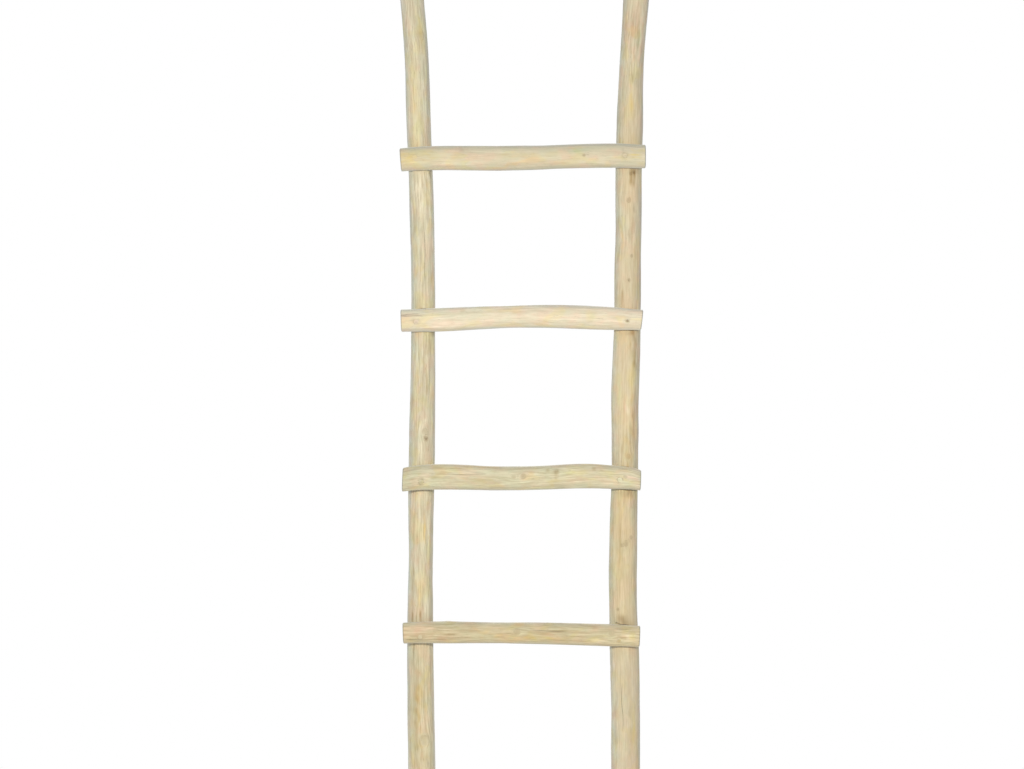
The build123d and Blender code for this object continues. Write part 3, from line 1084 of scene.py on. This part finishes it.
def zinc_steel():
    """Zinc-plated steel, a little spangled and dulled."""
    graph = Graph("zinc_steel")
    place = graph.node("ShaderNodeTexCoord").outputs["Object"]
    spangle = graph.noise(graph.stretched(place, (600, 600, 600)), detail=3.0)
    scratch = graph.noise(graph.stretched(place, (2500, 300, 2500)), detail=2.0)
    colour = graph.mix(spangle, (0.42, 0.41, 0.37), (0.66, 0.65, 0.60))
    rough = graph.spread(scratch, 0.3, 0.7, 0.28, 0.48)
    bump = graph.bump(scratch, 0.3, 0.05 * MM)
    return graph.finish(Base_Color=colour, Metallic=1.0, Roughness=rough, Normal=bump)


# ---------------------------------------------------------------- pieces
PLUG_COLUMNS = 48
PLUG_RINGS = [0.0, 0.25, 0.5, 0.7, 0.84, 0.92, 0.97, 1.0]
PLUG_PROUD = 0.22 * MM
PLUG_RIM = 0.55 * MM  # how far the rim is rounded back
PLUG_SIDE = 3.0 * MM


def plug_mesh(plug, rung_surface):
    """A wooden plug, flush with the rung around it, with a softened rim."""
    low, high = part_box(plug)
    middle = (low + high) / 2
    radius = (high.x - low.x) / 2
    points, shares, rings = [], [], []
    for share in PLUG_RINGS:
        ring = []
        for column in range(PLUG_COLUMNS if share else 1):
            angle = 2 * math.pi * column / PLUG_COLUMNS
            x = middle.x + radius * share * math.cos(angle)
            z = middle.z + radius * share * math.sin(angle)
            hit = rung_surface.ray_cast(Vector((x, -0.2, z)), Vector((0, 1, 0)), 0.3)[0]
            back = PLUG_RIM * max(0.0, (share - 0.8) / 0.2) ** 2
            ring.append(len(points))
            points.append((x, hit.y - PLUG_PROUD + back, z))
            shares.append(share)
        rings.append(ring)
    side = []
    for index in rings[-1]:
        x, y, z = points[index]
        side.append(len(points))
        points.append((x, y + PLUG_SIDE, z))
        shares.append(1.0)
    rings.append(side)

    faces = []
    for column in range(PLUG_COLUMNS):
        faces.append((rings[0][0], rings[1][column], rings[1][(column + 1) % PLUG_COLUMNS]))
    for inner, outer in zip(rings[1:], rings[2:]):
        for column in range(PLUG_COLUMNS):
            after = (column + 1) % PLUG_COLUMNS
            faces.append((inner[column], outer[column], outer[after], inner[after]))
    faces.append(tuple(reversed(side)))
    mesh = bpy.data.meshes.new(plug + "_end")
    mesh.from_pydata(points, [], faces)
    store(mesh, "grain", "FLOAT_VECTOR", [(z, -y, x) for x, y, z in points])
    store(mesh, "rim", "FLOAT", shares)
    return smoothed(mesh)


def make_branches():
    for node, spec in BRANCHES.items():
        plugs = [plug for plug in PLUGS if node.startswith("rung") and plug[5] == node[-1]]
        branch = Branch(node, plugs)
        mesh = branch_mesh(branch)
        slot = "pole_wood" if branch.upright else "rung_wood"
        add_piece(node + "_wood", mesh, branch_wood(node + "_wood", spec), slot, node)
        points = [vertex.co for vertex in mesh.vertices]
        surface = BVHTree.FromPolygons(points, [face.vertices for face in mesh.polygons])
        for index, plug in enumerate(plugs):
            tint = plug_tint(branch, plug)
            wood = plug_wood(plug + "_wood", spec, tint, PLUGS[plug][2], spec["seed"] + 1 + index)
            add_piece(plug + "_end", plug_mesh(plug, surface), wood, "plug_wood", plug)


def finish_screws():
    steel = zinc_steel()
    for name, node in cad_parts.items():
        if name.startswith("screw"):
            node.data.materials.clear()
            node.data.materials.append(steel)


# ---------------------------------------------------------------- studio
FLOOR_RADIUS = 1.9
BACKDROP = (1.0, 1.0, 1.0)


def make_floor():
    """A pale floor that fades into the white backdrop at its edge."""
    graph = Graph("floor")
    place = graph.node("ShaderNodeTexCoord").outputs["Object"]
    shown = graph.spread(graph.length(place), FLOOR_RADIUS * 0.98, FLOOR_RADIUS * 0.35)
    graph.finish(Base_Color=(0.97, 0.93, 0.86, 1.0), Roughness=0.9, Alpha=shown)
    mesh = bpy.data.meshes.new("floor")
    signs = [(-1, -1), (1, -1), (1, 1), (-1, 1)]
    corners = [(x * FLOOR_RADIUS, y * FLOOR_RADIUS, 0) for x, y in signs]
    mesh.from_pydata(corners, [], [(0, 1, 2, 3)])
    mesh.materials.append(graph.material)
    floor = put_in_scene("floor", mesh)
    floor.location.z = CAD_BOX[0].z


def make_world():
    """White where the camera sees it, and a dim even light for everything else."""
    world = bpy.data.worlds.new("studio")
    world.use_nodes = True
    bpy.context.scene.world = world
    tree = world.node_tree
    tree.nodes.clear()
    path = tree.nodes.new("ShaderNodeLightPath")
    seen, light = tree.nodes.new("ShaderNodeBackground"), tree.nodes.new("ShaderNodeBackground")
    seen.inputs["Color"].default_value = (*BACKDROP, 1.0)
    light.inputs["Color"].default_value = (*AMBIENT_COLOUR, 1.0)
    light.inputs["Strength"].default_value = AMBIENT
    mix = tree.nodes.new("ShaderNodeMixShader")
    out = tree.nodes.new("ShaderNodeOutputWorld")
    tree.links.new(path.outputs["Is Camera Ray"], mix.inputs[0])
    tree.links.new(light.outputs[0], mix.inputs[1])
    tree.links.new(seen.outputs[0], mix.inputs[2])
    tree.links.new(mix.outputs[0], out.inputs[0])


AMBIENT = 0.52
AMBIENT_COLOUR = (0.82, 0.94, 1.18)
LAMP_COLOUR = (1.0, 0.96, 0.88)
# Lights: name, place, target, width and height, power in watts.
LIGHTS = [
    ("key", (-0.4, -4.6, 1.5), (0, 0, 0.95), (7.0, 0.4), 224.0),
    ("back", (0.3, 5.4, 2.8), (0, 0, 0.9), (3.0, 3.0), 200.0),
]


def make_lights():
    for name, place, target, size, power in LIGHTS:
        light = bpy.data.lights.new(name, "AREA")
        light.shape = "RECTANGLE"
        light.size, light.size_y = size
        light.color = LAMP_COLOUR
        light.energy = power
        lamp = put_in_scene(name, light)
        lamp.location = place
        lamp.rotation_euler = (Vector(target) - Vector(place)).to_track_quat("-Z", "Y").to_euler()
        lamp.visible_camera = False


# The camera looks level and straight at the front from far away. Its view cuts off both
# ends of the poles, and it is as wide as VIEW_WIDTH at the ladder.
CAMERA_DISTANCE = 12.0
VIEW_WIDTH = 2.048
VIEW_CENTRE = (-0.022, 0.901)


def make_camera():
    data = bpy.data.cameras.new("camera")
    data.sensor_width = 36.0
    data.lens = data.sensor_width * CAMERA_DISTANCE / VIEW_WIDTH
    data.clip_end = 60.0
    camera = put_in_scene("camera", data)
    camera.location = (VIEW_CENTRE[0], -CAMERA_DISTANCE, VIEW_CENTRE[1])
    camera.rotation_euler = (math.radians(90), 0, 0)
    bpy.context.scene.camera = camera
    bpy.context.scene.view_settings.view_transform = "Standard"


make_branches()
finish_screws()
make_floor()
make_world()
make_lights()
make_camera()
